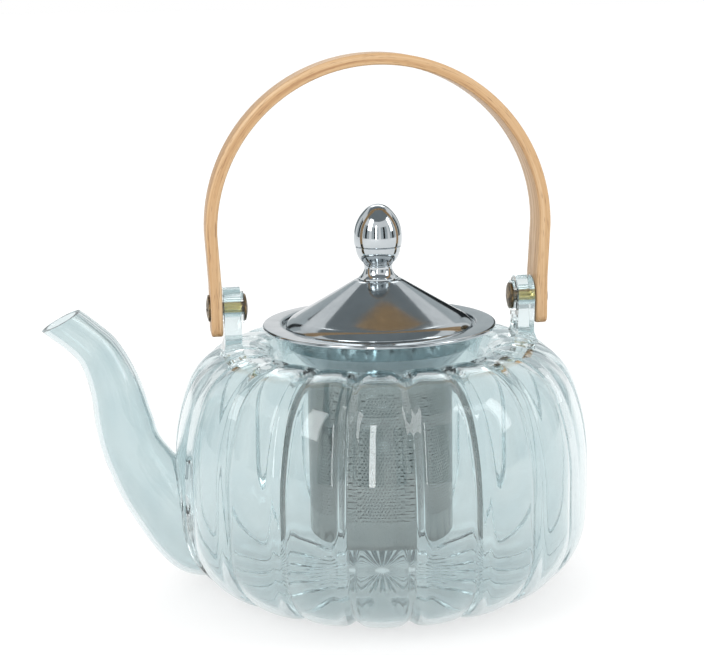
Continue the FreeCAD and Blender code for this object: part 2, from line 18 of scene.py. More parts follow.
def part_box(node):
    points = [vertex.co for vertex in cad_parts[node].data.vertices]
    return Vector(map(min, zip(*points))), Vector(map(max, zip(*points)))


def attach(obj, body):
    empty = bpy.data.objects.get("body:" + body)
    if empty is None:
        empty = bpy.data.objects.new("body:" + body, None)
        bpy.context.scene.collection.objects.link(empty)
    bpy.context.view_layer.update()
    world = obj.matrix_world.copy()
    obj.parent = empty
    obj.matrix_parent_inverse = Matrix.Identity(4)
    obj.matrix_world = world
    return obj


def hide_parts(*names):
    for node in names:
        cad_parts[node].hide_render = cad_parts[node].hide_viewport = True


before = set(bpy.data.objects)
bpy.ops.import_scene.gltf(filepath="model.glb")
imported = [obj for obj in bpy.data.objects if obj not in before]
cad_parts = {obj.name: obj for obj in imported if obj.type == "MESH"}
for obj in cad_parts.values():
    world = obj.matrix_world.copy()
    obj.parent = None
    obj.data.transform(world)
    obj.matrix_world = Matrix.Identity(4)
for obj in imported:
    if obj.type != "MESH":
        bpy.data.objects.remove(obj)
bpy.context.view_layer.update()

log = logging.getLogger("teapot")

MM = 0.001
# A ring this small closes to one point when its doubles are merged.
POLE = 0.01
POLE_MERGE = 0.00004
# Surfaces that meet more sharply than this keep a crisp edge.
CRISP = math.radians(38)
# Points nearer than this, in millimetres, lie on the same face.
TOUCH = 0.01
# The part of its range from 0 to 1 that a noise mostly keeps to.
MIDDLE = (0.3, 0.7)
# Where the colour mixer has its inputs and its result.
MIX_SHARE, MIX_LOW, MIX_HIGH, MIX_RESULT = 0, 6, 7, 2

Point = tuple[float, float]
Place = tuple[float, float, float]
Piece = bpy.types.Object
Socket = bpy.types.NodeSocket
Tree = bpy.types.NodeTree
Node = bpy.types.Node


# ---- outlines


@dataclass(frozen=True)
class Mark:
    """A corner of a half section, in millimetres.

    Attributes:
        reach: Distance from the axis.
        height: Height above the table.
        bend: Radius that rounds the corner itself, or 0 for a crisp one.
        arc: Radius of the curve to the next corner, positive where it turns left.
    """

    reach: float
    height: float
    bend: float = 0.0
    arc: float = 0.0


def arc_points(start: Point, end: Point, radius: float, step: float) -> list[Point]:
    """Sample a circular arc between two points.

    Args:
        start: First point, left out of the result.
        end: Last point, left out of the result.
        radius: Radius in millimetres, positive where the arc turns left.
        step: Longest distance between samples.

    Returns:
        The points between the two ends.
    """
    chord = Vector(end) - Vector(start)
    half = chord.length / 2
    rise = math.sqrt(max(radius * radius - half * half, 0.0))
    left = Vector((-chord.y, chord.x)).normalized()
    centre = (Vector(start) + Vector(end)) / 2 + left * math.copysign(rise, radius)
    first = math.atan2(start[1] - centre.y, start[0] - centre.x)
    sweep = 2 * math.asin(min(half / abs(radius), 1.0)) * math.copysign(1, radius)
    count = max(4, math.ceil(abs(sweep * radius) / step))
    angles = [first + sweep * index / count for index in range(1, count)]
    reach = abs(radius)
    return [(centre.x + reach * math.cos(a), centre.y + reach * math.sin(a)) for a in angles]


def trace(
    marks: Sequence[Mark], step: float, span: float = math.inf, closed: bool = False
) -> list[Point]:
    """Turn a row of corners into the points that a section is drawn through.

    Args:
        marks: The corners, in order.
        step: Longest distance between samples on a curve.
        span: Longest distance between samples on a straight.
        closed: Whether the last corner leads back to the first.

    Returns:
        Points as (reach, height), in millimetres.
    """
    points: list[Point] = []
    count = len(marks)
    for index, mark in enumerate(marks):
        here = Vector((mark.reach, mark.height))
        has_both = closed or 0 < index < count - 1
        if mark.bend and has_both:
            before, after = marks[index - 1], marks[(index + 1) % count]
            back = (Vector((before.reach, before.height)) - here).normalized()
            ahead = (Vector((after.reach, after.height)) - here).normalized()
            throw = mark.bend / math.tan(back.angle(ahead) / 2)
            start, end = here + back * throw, here + ahead * throw
            turn = math.copysign(mark.bend, (-back).cross(ahead))
            curve = arc_points(start, end, turn, min(step, mark.bend / 2))
            points += [tuple(start), *curve, tuple(end)]
        else:
            points.append(tuple(here))
        if index == count - 1 and not closed:
            break
        target = marks[(index + 1) % count]
        goal = (target.reach, target.height)
        if mark.arc:
            points += arc_points(points[-1], goal, mark.arc, step)
        else:
            origin = Vector(points[-1])
            run = Vector(goal) - origin
            cuts = max(math.ceil(run.length / span), 1)
            points += [tuple(origin + run * cut / cuts) for cut in range(1, cuts)]
    return points


def ease(value: float, low: float, high: float) -> float:
    """Rise smoothly from 0 at low to 1 at high."""
    share = min(max((value - low) / (high - low), 0.0), 1.0)
    return share * share * (3 - 2 * share)


def along(stations: Sequence[Sequence[float]], place: float) -> list[float]:
    """Read a row of stations at a place between them, on a smooth curve through all of them."""
    index = min(int(place), len(stations) - 2)
    share = place - index
    rows = [stations[min(max(index + shift, 0), len(stations) - 1)] for shift in (-1, 0, 1, 2)]
    read = []
    for a, b, c, d in zip(*rows):
        slope_in, slope_out = (c - a) / 2, (d - b) / 2
        cube, square = share**3, share**2
        read.append(
            (2 * cube - 3 * square + 1) * b
            + (cube - 2 * square + share) * slope_in
            + (3 * square - 2 * cube) * c
            + (cube - square) * slope_out
        )
    return read


# ---- the workbench


def clear_selection() -> None:
    """Leave edit mode and deselect everything."""
    if bpy.context.object and bpy.context.object.mode != "OBJECT":
        bpy.ops.object.mode_set(mode="OBJECT")
    bpy.ops.object.select_all(action="DESELECT")


def take(piece: Piece) -> None:
    """Select one piece alone and make it active."""
    clear_selection()
    piece.select_set(True)
    bpy.context.view_layer.objects.active = piece


def edit(piece: Piece, chosen: Callable[[Vector], bool], edges: bool = False) -> None:
    """Enter edit mode with some faces or edges selected by their place.

    Args:
        piece: The piece to work on.
        chosen: Says from a face's centre, or an edge's, whether it is selected.
        edges: Select edges rather than faces.
    """
    take(piece)
    mesh = piece.data
    corners = mesh.vertices
    for thing in (*corners, *mesh.edges, *mesh.polygons):
        thing.select = False
    for thing in mesh.edges if edges else mesh.polygons:
        ends = [corners[index] for index in thing.vertices]
        middle = (ends[0].co + ends[1].co) / 2 if edges else thing.center
        thing.select = chosen(middle)
        if thing.select:
            for corner in ends:
                corner.select = True
    bpy.context.tool_settings.mesh_select_mode = (False, edges, not edges)
    bpy.ops.object.mode_set(mode="EDIT")


@dataclass(frozen=True)
class Ring:
    """One ring of a drawn shell, in millimetres and radians.

    Attributes:
        reach: How far its centre is along X.
        height: Height of its centre.
        radius: Its radius.
        tilt: How far it leans about Y.
        twist: How far it is turned about Z.
    """

    reach: float
    height: float
    radius: float
    tilt: float = 0.0
    twist: float = 0.0

    @property
    def centre(self) -> Vector:
        """Its centre, in metres."""
        return Vector((self.reach * MM, 0, self.height * MM))


def settle(name: str) -> Piece:
    """Name the piece just added, and put its place and size into its mesh."""
    piece = bpy.context.object
    piece.name = piece.data.name = name
    bpy.ops.object.transform_apply(location=True, rotation=True, scale=True)
    return piece


def draw_on(rings: Sequence[Ring], extrude: Callable[..., object]) -> None:
    """Draw the selected outline on from ring to ring, with the operator that suits it."""
    for before, ring in pairwise(rings):
        extrude(TRANSFORM_OT_translate={"value": tuple(ring.centre - before.centre)})
        grow = ring.radius / before.radius
        bpy.ops.transform.resize(value=(grow, grow, grow), center_override=ring.centre)
        # transform.rotate turns the other way where there is no window
        for axis, turn in (("Y", before.tilt - ring.tilt), ("Z", before.twist - ring.twist)):
            if turn:
                bpy.ops.transform.rotate(value=turn, orient_axis=axis, center_override=ring.centre)


def draw_shell(name: str, sides: int, rings: Sequence[Ring]) -> Piece:
    """Draw a circle out through a row of rings, and close it where a ring is a pole.

    Args:
        name: Name of the piece.
        sides: Number of vertices in each ring.
        rings: The rings, in order.

    Returns:
        The new object, with its place in its mesh.
    """
    clear_selection()
    start = rings[0]
    bpy.ops.mesh.primitive_circle_add(
        vertices=sides,
        radius=start.radius * MM,
        location=start.centre,
        rotation=(0, start.tilt, 0),
    )
    piece = settle(name)
    bpy.ops.object.mode_set(mode="EDIT")
    bpy.ops.mesh.select_mode(type="VERT")
    bpy.ops.mesh.select_all(action="SELECT")
    draw_on(rings, bpy.ops.mesh.extrude_edges_move)
    bpy.ops.mesh.select_all(action="SELECT")
    bpy.ops.mesh.remove_doubles(threshold=POLE_MERGE)
    bpy.ops.mesh.normals_make_consistent(inside=False)
    bpy.ops.object.mode_set(mode="OBJECT")
    return piece


def close(points: Sequence[Point]) -> list[Point]:
    """Lead a section back to its first point."""
    return [*points, points[0]]


def turn_shell(name: str, sides: int, points: Sequence[Point]) -> Piece:
    """Spin a section about the pot's axis; points on the axis become poles."""
    rings = [Ring(0, height, max(reach, POLE)) for reach, height in points]
    return draw_shell(name, sides, rings)


def apply_modifier(piece: Piece, kind: str, **settings: object) -> None:
    """Add a modifier with its settings and apply it."""
    take(piece)
    modifier = piece.modifiers.new(kind.lower(), kind)
    for key, value in settings.items():
        setattr(modifier, key, value)
    bpy.ops.object.modifier_apply(modifier=modifier.name)


def round_edges(piece: Piece, radius: float, segments: int) -> None:
    """Round a piece's crisp edges to a radius in millimetres."""
    settings = {"limit_method": "ANGLE", "angle_limit": CRISP}
    apply_modifier(piece, "BEVEL", width=radius * MM, segments=segments, **settings)


def rod(name: str, sides: int, radius: float, length: float, centre: Place) -> Piece:
    """Turn a rod that lies along X, with its sizes and centre in metres."""
    clear_selection()
    bpy.ops.mesh.primitive_cylinder_add(
        vertices=sides, radius=radius, depth=length, location=centre, rotation=(0, math.pi / 2, 0)
    )
    return settle(name)


def pivot_height() -> float:
    """Read the height of the pivots from the CAD, in millimetres."""
    low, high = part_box("pivot_post_far_side")
    return (low.z + high.z) / 2 / MM


def carve(piece: Piece, kind: str, tool: Piece) -> None:
    """Fuse a piece with another closed one, or cut it with it, and use the other up."""
    apply_modifier(piece, "BOOLEAN", operation=kind, solver="EXACT", object=tool)
    bpy.data.objects.remove(tool, do_unlink=True)


def finish_piece(
    piece: Piece, body: str, finish: "Finish", nodes: Sequence[str]
) -> None:
    """Smooth a piece, dress it and send it to ride on its body.

    Args:
        piece: The finished mesh.
        body: CAD body that carries it.
        finish: Its finish.
        nodes: CAD nodes that it stands for.
    """
    take(piece)
    bpy.ops.object.shade_smooth_by_angle(angle=CRISP)
    piece.data.materials.clear()
    piece.data.materials.append(finish.material())
    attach(piece, body)
    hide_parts(*nodes)
    log.info("%s rides on %s with %d faces", piece.name, body, len(piece.data.polygons))


# ---- finishes


def colour(code: str) -> tuple[float, float, float, float]:
    """Turn an sRGB hex value such as "#C8A06E" into linear RGBA."""
    shares = [int(code[place : place + 2], 16) / 255 for place in (1, 3, 5)]
    linear = [s / 12.92 if s <= 0.04045 else ((s + 0.055) / 1.055) ** 2.4 for s in shares]
    return (*linear, 1.0)


def add(
    tree: Tree,
    kind: str,
    inputs: dict[str | int, object] | None = None,
    stops: Sequence[tuple[float, str]] = (),
    **settings: object,
) -> Node:
    """Add a node with its settings, values and links.

    Args:
        tree: The node tree.
        kind: The node's type name.
        inputs: A number, colour or output socket for each named input.
        stops: Places and hex colours of a colour ramp.
        settings: The node's own properties.

    Returns:
        The new node.
    """
    node = tree.nodes.new(kind)
    for key, value in settings.items():
        setattr(node, key, value)
    for key, value in (inputs or {}).items():
        if isinstance(value, Socket):
            tree.links.new(value, node.inputs[key])
        else:
            node.inputs[key].default_value = value
    for index, (place, code) in enumerate(stops):
        elements = node.color_ramp.elements
        stop = elements[index] if index < len(elements) else elements.new(place)
        stop.position, stop.color = place, colour(code)
    return node


class Axis(Enum):
    """Where a finish reads its pattern from."""

    OBJECT = "Object"
    GRAIN = "grain"


def per_mm(size: float) -> float:
    """Give the scale of a pattern whose features are this many millimetres across."""
    return 1 / (size * MM)


def place_on(tree: Tree, axis: Axis = Axis.OBJECT) -> Socket:
    """Read each point's place on the piece, or along its grain."""
    if axis is Axis.GRAIN:
        return add(tree, "ShaderNodeAttribute", attribute_name=axis.value).outputs["Vector"]
    return add(tree, "ShaderNodeTexCoord").outputs[axis.value]


def noise(tree: Tree, place: Socket, scale: float, **fineness: float) -> Socket:
    """Add noise, with its detail and the like where they aren't the usual ones."""
    inputs = {"Vector": place, "Scale": scale}
    inputs |= {name.title(): value for name, value in fineness.items()}
    return add(tree, "ShaderNodeTexNoise", inputs).outputs["Fac"]


def blend(tree: Tree, share: Socket, *stops: tuple[float, str]) -> Socket:
    """Run from colour to colour as the share rises from stop to stop."""
    return add(tree, "ShaderNodeValToRGB", {"Fac": share}, stops).outputs["Color"]


def spread(tree: Tree, value: Socket, source: Point, target: Point) -> Socket:
    """Carry a value from one range over to another."""
    inputs = {"Value": value, "From Min": source[0], "From Max": source[1]}
    inputs |= {"To Min": target[0], "To Max": target[1]}
    return add(tree, "ShaderNodeMapRange", inputs).outputs["Result"]


def relief(tree: Tree, height: Socket, strength: float, depth: float) -> Socket:
    """Raise and sink the surface by this many millimetres."""
    inputs = {"Height": height, "Strength": strength, "Distance": depth * MM}
    return add(tree, "ShaderNodeBump", inputs).outputs["Normal"]


def reckon(tree: Tree, operation: str, *values: Socket | float) -> Socket:
    """Reckon with one, two or three numbers."""
    return add(tree, "ShaderNodeMath", dict(enumerate(values)), operation=operation).outputs[0]


def mix(tree: Tree, share: Socket, low: Socket, high: str) -> Socket:
    """Mix a colour into another one by a share."""
    inputs = {MIX_SHARE: share, MIX_LOW: low, MIX_HIGH: colour(high)}
    return add(tree, "ShaderNodeMix", inputs, data_type="RGBA").outputs[MIX_RESULT]


def surface(tree: Tree, **inputs: Socket | float | Sequence[float]) -> Node:
    """Add the shader; each name is one of its inputs, such as base_color or ior."""
    names = {key: key.replace("_", " ").title().replace("Ior", "IOR") for key in inputs}
    values = {names[key]: value for key, value in inputs.items()}
    return add(tree, "ShaderNodeBsdfPrincipled", values)


@dataclass(frozen=True)
class Finish:
    """A finish, made once and shared by all pieces that have it."""

    name: str = "plain"

    def material(self) -> bpy.types.Material:
        """Return the finish's material, made the first time it is asked for."""
        made = bpy.data.materials.get(self.name)
        if made is None:
            made = bpy.data.materials.new(self.name)
            made.use_nodes = True
            tree = made.node_tree
            tree.nodes.clear()
            shader = self.shade(tree)
            add(tree, "ShaderNodeOutputMaterial", {"Surface": shader.outputs[0]})
        return made

    def shade(self, tree: Tree) -> Node:
        """Build the nodes and return the shader."""
        raise NotImplementedError


@dataclass(frozen=True)
class BlownGlass(Finish):
    """Borosilicate glass blown into a ribbed mould: clear, faintly blue-grey, slightly wavy."""

    name: str = "borosilicate_glass"
    tint: str = "#DFE8E9"
    deep: str = "#D8E3E5"
    ior: float = 1.47
    ripple: float = 14.0
    ripple_depth: float = 0.05
    ripple_strength: float = 0.25

    def shade(self, tree: Tree) -> Node:
        """Clear glass whose surface has the slow waves of hot blowing."""
        wave = noise(tree, place_on(tree), per_mm(self.ripple), detail=1.0, roughness=0.4)
        return surface(
            tree,
            base_color=blend(tree, wave, (0.35, self.tint), (0.7, self.deep)),
            normal=relief(tree, wave, self.ripple_strength, self.ripple_depth),
            transmission_weight=1.0,
            roughness=0.0,
            ior=self.ior,
        )


@dataclass(frozen=True)
class ClearSilicone(Finish):
    """Moulded silicone, clear with a faint bloom."""

    name: str = "clear_silicone_rubber"
    light: str = "#F7FAFA"
    dark: str = "#EDF2F2"
    bloom: float = 1.2
    gloss: float = 0.03
    ior: float = 1.41

    def shade(self, tree: Tree) -> Node:
        """A clear body whose tone shifts a little from place to place."""
        cloud = noise(tree, place_on(tree), per_mm(self.bloom), detail=3.0)
        return surface(
            tree,
            base_color=blend(tree, cloud, (0.3, self.light), (0.75, self.dark)),
            transmission_weight=1.0,
            roughness=self.gloss,
            ior=self.ior,
        )


@dataclass(frozen=True)
class BentBeech(Finish):
    """Steam-bent beech, sanded and oiled: tan, with darker growth lines and short ray flecks."""

    name: str = "oiled_beech"
    pale: str = "#D2B48E"
    warm: str = "#BC966A"
    streak: str = "#99704A"
    fleck: str = "#7A5434"
    line: Point = (60.0, 0.9)
    fleck_size: Point = (3.4, 0.28)
    fleck_range: Point = (0.60, 0.74)
    fleck_share: float = 0.55
    pore: float = 0.06
    sheen: Point = (0.42, 0.58)
    oil: float = 0.12
    oil_gloss: float = 0.3

    def drawn_out(self, tree: Tree, place: Socket, size: Point, **values: float) -> Socket:
        """Add noise that is drawn out along the grain to a length and a width."""
        length, width = (per_mm(side) for side in size)
        inputs = {"Vector": place, "Scale": (length, width, width)}
        drawn = add(tree, "ShaderNodeMapping", inputs)
        return noise(tree, drawn.outputs["Vector"], **values)

    def shade(self, tree: Tree) -> Node:
        """Growth lines and flecks that follow the bend, with a low oil sheen."""
        place = place_on(tree, Axis.GRAIN)
        fine = {"scale": 0.5, "detail": 5.0, "roughness": 0.62, "distortion": 0.6}
        lines = self.drawn_out(tree, place, self.line, **fine)
        wood = blend(tree, lines, (0.30, self.pale), (0.52, self.warm), (0.74, self.streak))
        flecks = self.drawn_out(tree, place, self.fleck_size, scale=0.7, detail=1.0)
        share = spread(tree, flecks, self.fleck_range, (0.0, self.fleck_share))
        return surface(
            tree,
            base_color=mix(tree, share, wood, self.fleck),
            roughness=spread(tree, lines, MIDDLE, self.sheen),
            normal=relief(tree, flecks, 0.3, self.pore),
            coat_weight=self.oil,
            coat_roughness=self.oil_gloss,
        )


@dataclass(frozen=True)
class SpunSteel(Finish):
    """Stainless steel spun on a lathe: fine lines run round the axis."""

    name: str = "spun_stainless_steel"
    light: str = "#C9CED0"
    dark: str = "#AEB5B8"
    line: float = 0.5
    gloss: Point = (0.16, 0.30)
    depth: float = 0.012

    def shade(self, tree: Tree) -> Node:
        """Turning lines in the gloss and the relief."""
        place = place_on(tree)
        flat = add(tree, "ShaderNodeMapping", {"Vector": place, "Scale": (1.0, 1.0, 0.0)})
        reach = add(tree, "ShaderNodeVectorMath", {0: flat.outputs["Vector"]}, operation="LENGTH")
        tall = add(tree, "ShaderNodeSeparateXYZ", {"Vector": place}).outputs["Z"]
        run = reckon(tree, "SUBTRACT", reach.outputs["Value"], tall)
        inputs = {"W": run, "Scale": per_mm(self.line), "Detail": 4.0}
        lines = add(tree, "ShaderNodeTexNoise", inputs, noise_dimensions="1D").outputs["Fac"]
        return surface(
            tree,
            base_color=blend(tree, lines, (0.3, self.light), (0.7, self.dark)),
            metallic=1.0,
            roughness=spread(tree, lines, MIDDLE, self.gloss),
            normal=relief(tree, lines, 0.2, self.depth),
        )


@dataclass(frozen=True)
class PolishedSteel(Finish):
    """Polished stainless steel, with the faint haze that handling leaves."""

    name: str = "mirror_polished_steel"
    light: str = "#C4C9CC"
    dark: str = "#B3BABE"
    smudge: float = 9.0
    gloss: Point = (0.03, 0.1)

    def shade(self, tree: Tree) -> Node:
        """A polish with slow changes in its gloss."""
        haze = noise(tree, place_on(tree), per_mm(self.smudge), detail=4.0, roughness=0.6)
        return surface(
            tree,
            base_color=blend(tree, haze, (0.35, self.light), (0.75, self.dark)),
            metallic=1.0,
            roughness=spread(tree, haze, (0.4, 0.8), self.gloss),
        )


@dataclass(frozen=True)
class AgedBronze(Finish):
    """Bronze with a brown patina that wears back to the metal in small patches."""

    name: str = "patinated_bronze"
    patina: str = "#5C5347"
    metal: str = "#9C8258"
    worn: str = "#F4D283"
    patch: float = 1.6
    gloss: Point = (0.48, 0.26)
    # how much smoother the barrel is where it turns
    rubbed_smooth: float = 0.2
    depth: float = 0.03
    # the stretch of each pivot that turns in its eye, as reach from the pot's axis
    rubbed: Point = (50.0, 56.0)

    def shade(self, tree: Tree) -> Node:
        """Patina and bare metal, each with its own gloss, and a bright barrel where it turns."""
        place = place_on(tree)
        along_axis = add(tree, "ShaderNodeSeparateXYZ", {"Vector": place}).outputs["X"]
        reach = reckon(tree, "ABSOLUTE", along_axis)
        near, far = self.rubbed
        middle, half = (near + far) / 2 * MM, (far - near) / 2 * MM
        barrel = reckon(tree, "COMPARE", reach, middle, half)
        wear = noise(tree, place, per_mm(self.patch), detail=6.0, roughness=0.65)
        tone = blend(tree, wear, (0.42, self.patina), (0.68, self.metal))
        gloss = spread(tree, wear, MIDDLE, self.gloss)
        return surface(
            tree,
            base_color=mix(tree, barrel, tone, self.worn),
            metallic=1.0,
            roughness=reckon(tree, "MULTIPLY_ADD", barrel, -self.rubbed_smooth, gloss),
            normal=relief(tree, wear, 0.25, self.depth),
        )


# ---- the pot


@dataclass
class GlassPot:
    """The blown body, its spout and its two eyes, fused into one piece of glass."""

    wall: float = 2.0
    corner: float = 30.0
    side_top: float = 48.0
    shoulder: float = 92.5
    shoulder_share: float = 0.86
    dip: float = 13.0
    dip_angle: float = math.radians(50)
    neck_root: float = 1.5
    neck: float = 37.4
    flare: float = 4.1
    neck_top: float = 99.0
    lip: float = 0.6
    # longest step along the section, on its curves and on its straights
    steps: Point = (1.7, 3.0)
    # how far a cutting piece runs on past the mouth that it opens
    overrun: float = 3.0
    # lobes
    lobes: int = 20
    columns: int = 20
    valley: float = 1.45
    valley_inside: float = 0.3
    valley_width: float = 2.1
    swell: float = 0.9
    lobe_start: Point = (29.0, 40.0)
    lobe_end: Point = (41.0, 50.0)
    # moulded rays under the base
    rays: int = 40
    ray_depth: float = 0.7
    ray_top: float = 3.0
    ray_reach: tuple[float, float, float, float] = (5.0, 9.0, 25.0, 28.0)
    # spout, as out along -X, up, radius, and tilt in degrees
    spout_wall: float = 1.8
    spout: tuple[tuple[float, ...], ...] = (
        (53.9, 17.0, 12.0, 78),
        (67.9, 21.6, 16.6, 52),
        (82.7, 38.1, 14.1, 33),
        (92.4, 54.4, 11.3, 22),
        (95.8, 66.8, 10.6, 11),
        (98.6, 80.4, 9.3, 17),
        (103.6, 92.4, 8.0, 33),
        (109.8, 99.3, 7.4, 40),
        (116.8, 105.1, 7.8, 27),
    )
    spout_sides: int = 72
    spout_cuts: int = 7
    # eyes
    eye_bore: float = 2.7
    eye_head: float = 7.6
    eye_round: float = 1.5
    eye_sides: int = 40
    # the tab leaves the head below this share of the head's radius
    eye_cut: float = 0.3
    # the tab below each eye, as height, and breadth and thickness against the stretch above
    eye_foot: tuple[tuple[float, float, float], ...] = (
        (100.0, 0.9, 1.0),
        (94.5, 1.0, 1.0),
        (89.0, 1.35, 1.5),
    )
    radius: float = field(init=False)
    pivot: float = field(default_factory=pivot_height)

    def __post_init__(self) -> None:
        """Read the pot's radius from the CAD."""
        self.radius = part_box("glass_body")[1].x / MM

    def section(self, inset: float, rise: float) -> list[Point]:
        """Trace the pot's half section.

        Args:
            inset: How far the surface lies inside the outer one.
            rise: How far the neck is drawn on past its lip.

        Returns:
            Points from the middle of the base to the axis above the neck.
        """
        throw = self.dip + self.neck_root
        dip_centre = self.shoulder - self.dip
        crest = self.neck + self.neck_root + throw * math.sin(self.dip_angle)
        root_height = dip_centre + throw * math.cos(self.dip_angle)
        neck_rise = self.neck_top - root_height
        flare_curve = (self.flare**2 + neck_rise**2) / (2 * self.flare)
        across = self.radius - crest
        bend = self.shoulder_share * across
        drop = self.side_top - self.shoulder + bend
        side = (across**2 + drop**2 - bend**2) / (2 * (across - bend))
        side_centre = self.radius - side
        share = (side - inset) / (side - bend)
        dip = self.dip - inset
        rim = self.neck + flare_curve - math.sqrt((flare_curve + inset) ** 2 - neck_rise**2)
        lip = self.lip if inset else -self.lip
        marks = [
            Mark(0, inset),
            Mark(self.radius - self.corner, inset, arc=self.corner - inset),
            Mark(self.radius - inset, self.corner),
            Mark(self.radius - inset, self.side_top, arc=side - inset),
            Mark(
                side_centre + share * (crest - side_centre),
                self.side_top - share * drop,
                arc=bend - inset,
            ),
            Mark(crest, self.shoulder - inset, arc=dip),
            Mark(
                crest - dip * math.sin(self.dip_angle),
                dip_centre + dip * math.cos(self.dip_angle),
                arc=-(self.neck_root + inset),
            ),
            Mark(self.neck - inset, root_height, arc=-(flare_curve + inset)),
            Mark(rim, self.neck_top - self.lip),
            Mark(rim + lip, self.neck_top),
        ]
        if rise:
            marks.append(Mark(rim + lip, self.neck_top + rise))
        marks.append(Mark(0, self.neck_top + rise))
        return trace(marks, *self.steps)

    def depth(self, place: Vector, narrow: float, rays: float) -> float:
        """Say how far the mould presses the glass in at a place, in metres."""
        reach = math.hypot(place.x, place.y) / MM
        height = place.z / MM
        turn = math.atan2(place.y, place.x)
        pitch = 2 * math.pi / self.lobes
        off = abs((turn + pitch / 2) % pitch - pitch / 2)
        if height < self.side_top:
            strength = ease(reach, *self.lobe_start)
        else:
            strength = ease(reach, *self.lobe_end)
        valley = narrow * math.exp(-((off * reach / self.valley_width) ** 2))
        swell = self.swell * (1 - off / (pitch / 2)) ** 2
        pressed = strength * (valley + swell)
        if height < self.ray_top:
            near, full, last, end = self.ray_reach
            fan = ease(reach, near, full) * (1 - ease(reach, last, end))
            pressed += rays * fan * (0.5 + 0.5 * math.cos(turn * self.rays)) ** 2
        return pressed * MM

    def lobed(self, name: str, inset: float, rise: float, narrow: float, rays: float) -> Piece:
        """Blow one closed surface of the pot into the ribbed mould."""
        piece = turn_shell(name, self.lobes * self.columns, self.section(inset, rise))
        group = piece.vertex_groups.new(name="mould")
        depths = [self.depth(vertex.co, narrow, rays) for vertex in piece.data.vertices]
        deepest = max(depths)
        for index, value in enumerate(depths):
            if value > 0:
                group.add([index], value / deepest, "REPLACE")
        apply_modifier(piece, "DISPLACE", strength=-deepest, mid_level=0.0, vertex_group="mould")
        piece.vertex_groups.clear()
        return piece

    def tube(self, name: str, wall: float, past: float) -> Piece:
        """Draw the spout's outside, or its bore when a wall is taken off.

        Args:
            name: Name of the piece.
            wall: Glass taken off the radius.
            past: How far the tube is drawn on past the mouth.

        Returns:
            A closed tube.
        """
        last = len(self.spout) - 1
        rings = []
        for cut in range(last * self.spout_cuts + 1):
            out, up, radius, tilt = along(self.spout, cut / self.spout_cuts)
            rings.append(Ring(-out, up, radius - wall, -math.radians(tilt)))
        mouth = rings[-1]
        lean = Vector((math.sin(mouth.tilt), math.cos(mouth.tilt)))
        if past:
            reach, height = mouth.reach + lean.x * past, mouth.height + lean.y * past
            rings.append(Ring(reach, height, mouth.radius, mouth.tilt))
        ends = (rings[0], rings[-1])
        caps = [Ring(end.reach, end.height, POLE, end.tilt) for end in ends]
        return draw_shell(name, self.spout_sides, [caps[0], *rings, caps[1]])

    def eye(self, node: str) -> Piece:
        """Model one eye: a flat round head on a tab that flares into a fused foot."""
        low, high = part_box(node)
        middle = (low.x + high.x) / 2
        last = self.pivot * MM
        head = self.eye_head * MM
        piece = rod(node + "_blank", self.eye_sides, head, high.x - low.x, (middle, 0, last))
        limit = last - self.eye_cut * head
        edit(piece, lambda face: face.z < limit)
        for height, broad, thick in self.eye_foot:
            level = height * MM
            drop = {"value": (0, 0, level - last)}
            bpy.ops.mesh.extrude_region_move(TRANSFORM_OT_translate=drop)
            centre = (middle, 0, level)
            bpy.ops.transform.resize(value=(thick, broad, 0), center_override=centre)
            last = level
        bpy.ops.object.mode_set(mode="OBJECT")
        round_edges(piece, self.eye_round, 4)
        return piece

    def build(self, glass: Finish) -> None:
        """Fuse body, spout and eyes, then hollow them and bore the eyes."""
        eyes = ("lug_spout_side", "lug_far_side")
        pot = self.lobed("glass_pot", 0.0, 0.0, self.valley, self.ray_depth)
        carve(pot, "UNION", self.tube("spout_outside", 0.0, 0.0))
        for node in eyes:
            carve(pot, "UNION", self.eye(node))
        past, across = self.overrun, 2 * self.radius * MM
        inside = self.lobed("pot_hollow", self.wall, past, self.valley_inside, 0.0)
        carve(pot, "DIFFERENCE", inside)
        carve(pot, "DIFFERENCE", self.tube("spout_bore", self.spout_wall, past))
        centre = (0, 0, self.pivot * MM)
        bore = rod("eye_bore", self.eye_sides, self.eye_bore * MM, across, centre)
        carve(pot, "DIFFERENCE", bore)
        finish_piece(pot, "pot", glass, ("glass_body", "glass_spout", *eyes))


# ---- the handle


